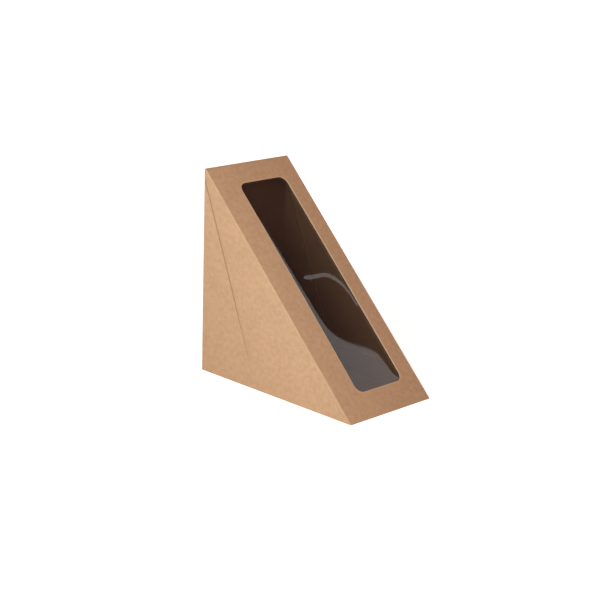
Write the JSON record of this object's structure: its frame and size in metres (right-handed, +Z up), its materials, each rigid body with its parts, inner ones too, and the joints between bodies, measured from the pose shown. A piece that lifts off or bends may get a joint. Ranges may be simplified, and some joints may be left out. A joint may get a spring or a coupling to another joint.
{
  "type": "sandwich wedge pack",
  "caption": "Folded kraft board wedge for a diagonally cut sandwich, with a rounded film window in its slope and a hinged base lid with tuck flap and dust tabs.",
  "frame": {"origin": "centre of the base, on the surface the pack stands on", "axes": "+X along the pack's width, the sloping window panel faces -Y and up, the upright back panel faces +Y, +Z up"},
  "size_m": [0.067, 0.123, 0.1229],
  "materials": {
    "kraft_board": "matte",
    "clear_film": "gloss"
  },
  "bodies": {
    "carton": {"carton": "kraft_board", "window_film": "clear_film"},
    "lid": {"base_lid": "kraft_board"}
  },
  "joints": [
    {"name": "lid_hinge", "type": "hinge", "parent": "carton", "child": "lid", "pos_m": [0, -0.05977, 0.00025], "axis": [-1, 0, 0], "range_deg": [0, 135]}
  ]
}
